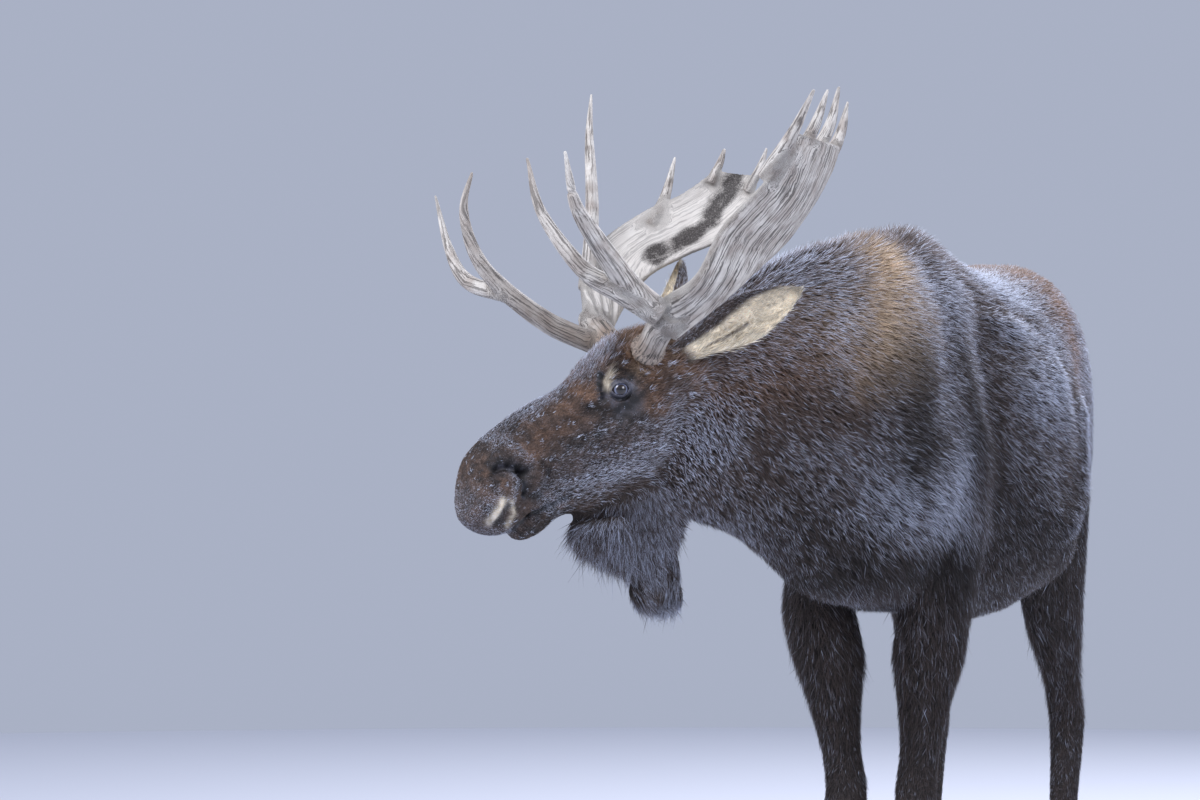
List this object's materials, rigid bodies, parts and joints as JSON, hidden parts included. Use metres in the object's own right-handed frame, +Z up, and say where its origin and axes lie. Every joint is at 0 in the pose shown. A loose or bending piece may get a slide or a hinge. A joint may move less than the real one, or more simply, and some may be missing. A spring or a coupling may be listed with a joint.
{
  "type": "bull moose",
  "caption": "Still, life-size bull moose in winter coat, standing with neck and head turned to its right, with palmate antlers and a bell under the throat.",
  "frame": {"origin": "on the floor, at the middle of the model's box", "axes": "+Z up, -Y the way the trunk faces, +X the animal's left side; the head is turned towards -X"},
  "size_m": [1.2194, 2.6631, 2.2066],
  "materials": {
    "coat": "dense winter hair, dark brown at the roots and pale grey at the tips, matte",
    "skin": "bare dark skin round the eyes, nostrils and lips, slightly moist",
    "antler": "bare bone, streaked grey-brown outside and pale inside, matte",
    "hoof": "dark horn, worn and slightly glossy",
    "eye": "wet, glossy, nearly black"
  },
  "bodies": {
    "root": {"trunk": "coat", "neck": "coat", "head": "coat", "lower_jaw": "coat", "bell": "coat", "tail": "coat", "ear_left": "coat", "ear_right": "coat", "eye_left": "eye", "eye_right": "eye", "foreleg_left_forearm": "coat", "foreleg_left_cannon": "coat", "foreleg_left_hoof_left": "hoof", "foreleg_left_dewclaw_left": "hoof", "foreleg_left_hoof_right": "hoof", "foreleg_left_dewclaw_right": "hoof", "foreleg_right_forearm": "coat", "foreleg_right_cannon": "coat", "foreleg_right_hoof_left": "hoof", "foreleg_right_dewclaw_left": "hoof", "foreleg_right_hoof_right": "hoof", "foreleg_right_dewclaw_right": "hoof", "hindleg_left_gaskin": "coat", "hindleg_left_cannon": "coat", "hindleg_left_hoof_left": "hoof", "hindleg_left_dewclaw_left": "hoof", "hindleg_left_hoof_right": "hoof", "hindleg_left_dewclaw_right": "hoof", "hindleg_right_gaskin": "coat", "hindleg_right_cannon": "coat", "hindleg_right_hoof_left": "hoof", "hindleg_right_dewclaw_left": "hoof", "hindleg_right_hoof_right": "hoof", "hindleg_right_dewclaw_right": "hoof", "antler_left_beam": "antler", "antler_left_palm": "antler", "antler_left_brow_inner": "antler", "antler_left_brow_outer": "antler", "antler_right_beam": "antler", "antler_right_palm": "antler", "antler_right_brow_inner": "antler", "antler_right_brow_outer": "antler", "antler_right_point": "antler"}
  },
  "joints": []
}
